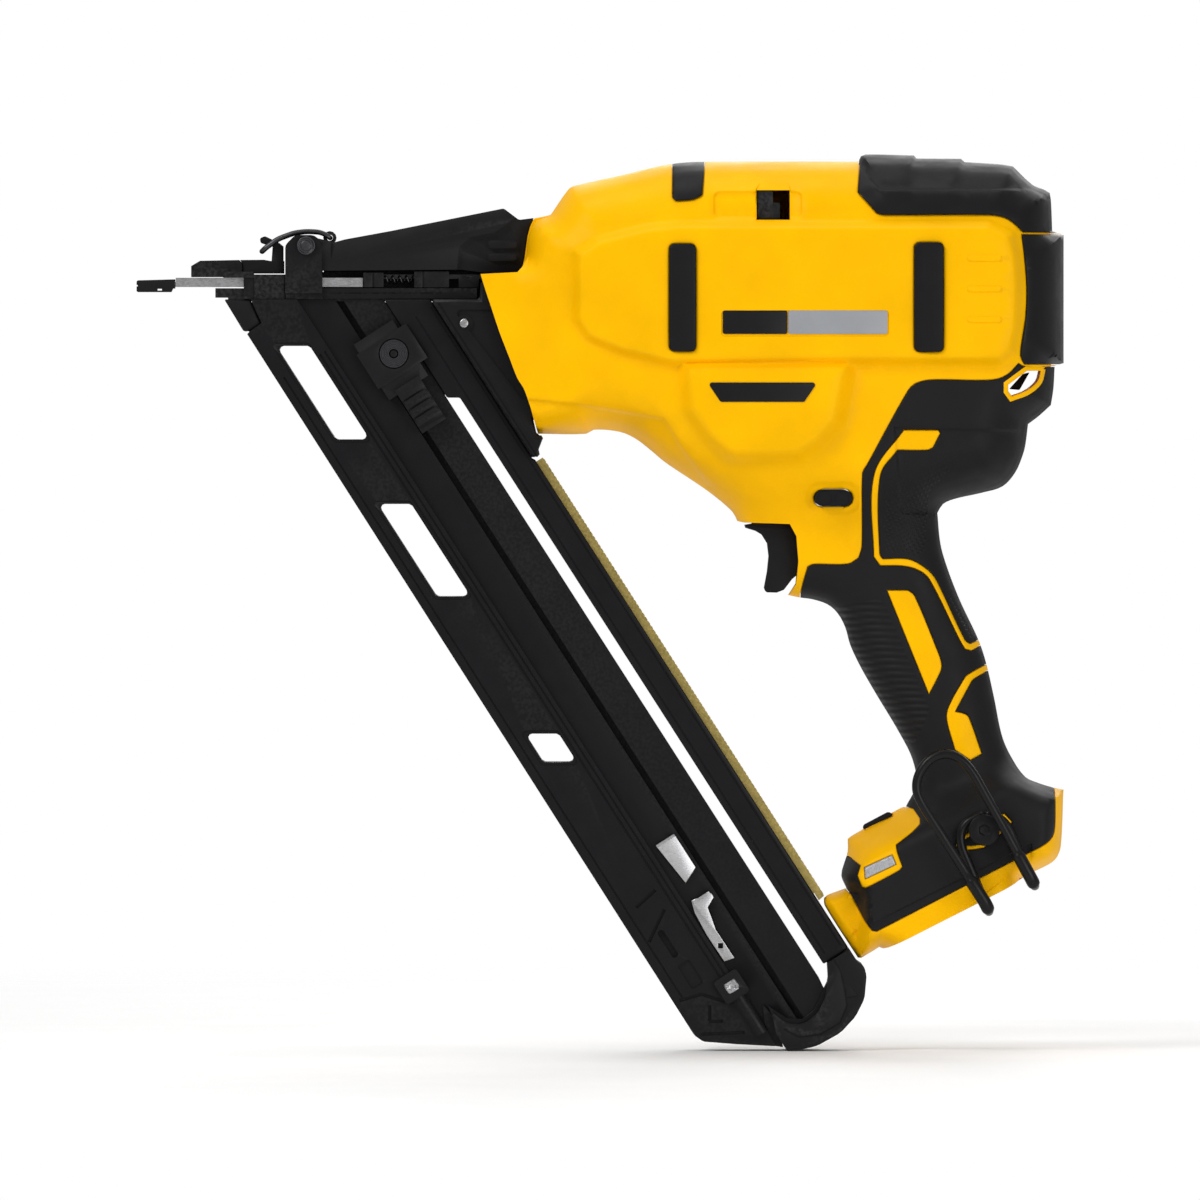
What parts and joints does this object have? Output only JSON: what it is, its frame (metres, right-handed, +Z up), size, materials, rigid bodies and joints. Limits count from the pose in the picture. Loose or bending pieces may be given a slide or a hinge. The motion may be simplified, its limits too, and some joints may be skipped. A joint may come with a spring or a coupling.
{
  "type": "cordless finish nailer",
  "caption": "Cordless angled finish nailer with a slanted magazine, pistol grip, battery foot, nose latch, contact trip and a flywheel drive inside.",
  "frame": {"origin": "centre of the nose pad's front face, the face that is pressed on the workpiece", "axes": "-X is the drive direction, +X runs back along the tool's length, +Z up from the handle to the top of the housing, -Y the tool's left side"},
  "size_m": [0.365, 0.0897, 0.3527],
  "materials": {
    "housing_yellow": "satin yellow moulding",
    "overmould_black": "soft matt black",
    "pad_black": "matt black",
    "moulding_black": "satin black moulding",
    "nose_black": "satin black cast metal",
    "magazine_black": "satin black anodised metal",
    "steel": "bright steel",
    "spring_steel": "spring steel",
    "dark_steel": "blackened steel",
    "zinc_strip": "yellow zinc plated",
    "cast_aluminium": "as cast",
    "winding_copper": "varnished copper windings on steel",
    "lens": "clear grey lens",
    "switch_grey": "grey moulding",
    "bright_coat": "black powder coat"
  },
  "bodies": {
    "housing": {"housing_left": "housing_yellow", "housing_right": "housing_yellow", "overmould_left": "overmould_black", "overmould_right": "overmould_black", "rear_bumper": "pad_black", "rear_vent": "moulding_black", "side_pad_front_left": "pad_black", "side_pad_front_right": "pad_black", "side_pad_rear_left": "pad_black", "side_pad_rear_right": "pad_black", "top_pad": "pad_black", "led_lens_left": "lens", "housing_screw_1": "dark_steel", "housing_screw_2": "dark_steel", "belt_hook": "bright_coat", "belt_hook_screw": "dark_steel", "terminal_block": "moulding_black", "trigger_pin": "steel", "trigger_spring": "spring_steel", "trigger_switch": "switch_grey", "drive_frame": "cast_aluminium", "stator": "winding_copper", "return_rod_left": "steel", "return_rod_right": "steel", "return_spring_left": "spring_steel", "return_spring_right": "spring_steel", "bumper": "pad_black", "solenoid": "switch_grey", "nose_frame": "nose_black", "nosepiece": "nose_black", "trip_guide": "moulding_black", "trip_spring": "spring_steel", "frame_rivet": "steel", "latch_pin": "nose_black", "magazine_body": "magazine_black", "magazine_rail": "magazine_black", "nail_strip": "zinc_strip", "end_cap": "moulding_black", "magazine_stop": "moulding_black", "nail_retainer": "steel", "retainer_clip": "steel", "clip_screw": "steel"},
    "trigger": {"trigger": "pad_black"},
    "lock_button": {"lock_button": "pad_black"},
    "mode_button": {"mode_button": "pad_black"},
    "stall_lever": {"stall_lever": "moulding_black"},
    "contact_trip": {"contact_trip": "steel", "nose_pad": "pad_black", "trip_carrier": "moulding_black"},
    "latch_lever": {"latch_lever": "moulding_black"},
    "latch_bail": {"latch_bail": "steel"},
    "nose_door": {"nose_door": "nose_black"},
    "pusher": {"pusher": "moulding_black", "spring_roll": "spring_steel"},
    "driver": {"driver": "dark_steel"},
    "flywheel": {"flywheel": "steel", "motor_shaft": "dark_steel"},
    "roller_arm": {"roller_arm": "cast_aluminium"},
    "pinch_roller": {"pinch_roller": "steel"},
    "solenoid_plunger": {"solenoid_plunger": "steel"}
  },
  "joints": [
    {"name": "trigger_pull", "type": "hinge", "parent": "housing", "child": "trigger", "pos_m": [0.2435, 0, -0.09], "axis": [0, -1, 0], "range_deg": [0, 6], "stiffness_Nm_per_rad": 0.8, "springref_deg": -5.73, "deforming": ["trigger_spring"]},
    {"name": "lock_slide", "type": "slide", "parent": "housing", "child": "lock_button", "axis": [0, 1, 0], "range_m": [-0.003, 0.003]},
    {"name": "mode_press", "type": "slide", "parent": "housing", "child": "mode_button", "axis": [0, 1, 0], "range_m": [0, 0.0008], "stiffness_N_per_m": 400, "springref_m": -0.001},
    {"name": "stall_slide", "type": "slide", "parent": "housing", "child": "stall_lever", "axis": [1, 0, 0], "range_m": [0, 0.006], "stiffness_N_per_m": 150, "springref_m": -0.004},
    {"name": "trip_press", "type": "slide", "parent": "housing", "child": "contact_trip", "axis": [1, 0, 0], "range_m": [0, 0.0115], "stiffness_N_per_m": 600, "springref_m": -0.012, "deforming": ["trip_spring"]},
    {"name": "latch_open", "type": "hinge", "parent": "housing", "child": "latch_lever", "pos_m": [0.0668, 0, 0.0162], "axis": [0, -1, 0], "range_deg": [0, 75]},
    {"name": "bail_swing", "type": "hinge", "parent": "latch_lever", "child": "latch_bail", "pos_m": [0.076, 0, 0.0194], "axis": [0, -1, 0], "range_deg": [-73, 0]},
    {"name": "door_open", "type": "hinge", "parent": "housing", "child": "nose_door", "pos_m": [0.0375, 0, 0.0076], "axis": [0, -1, 0], "range_deg": [0, 50]},
    {"name": "pusher_slide", "type": "slide", "parent": "housing", "child": "pusher", "axis": [0.5402, 0, -0.8415], "range_m": [0, 0.175], "stiffness_N_per_m": 8, "springref_m": -1},
    {"name": "driver_stroke", "type": "slide", "parent": "housing", "child": "driver", "axis": [-1, 0, 0], "range_m": [0, 0.0695], "stiffness_N_per_m": 60, "springref_m": -0.05, "deforming": ["return_spring_left", "return_spring_right"]},
    {"name": "flywheel_spin", "type": "hinge", "parent": "housing", "child": "flywheel", "pos_m": [0.246, 0, -0.034], "axis": [0, 1, 0], "continuous": true},
    {"name": "arm_tilt", "type": "hinge", "parent": "housing", "child": "roller_arm", "pos_m": [0.274, 0, 0.02], "axis": [0, -1, 0], "range_deg": [0, 1.5], "stiffness_Nm_per_rad": 4, "springref_deg": -1.15},
    {"name": "roller_spin", "type": "hinge", "parent": "roller_arm", "child": "pinch_roller", "pos_m": [0.246, 0, 0.014], "axis": [0, 1, 0], "continuous": true},
    {"name": "plunger_pull", "type": "slide", "parent": "housing", "child": "solenoid_plunger", "axis": [1, 0, 0], "range_m": [-0.0005, 0.0005]}
  ],
  "couplings": [
    {"joint": "bail_swing", "follows": "latch_open", "ratio": -0.97},
    {"joint": "door_open", "follows": "latch_open", "ratio": 0.66},
    {"joint": "plunger_pull", "follows": "arm_tilt", "m_per_rad": 0.013}
  ]
}
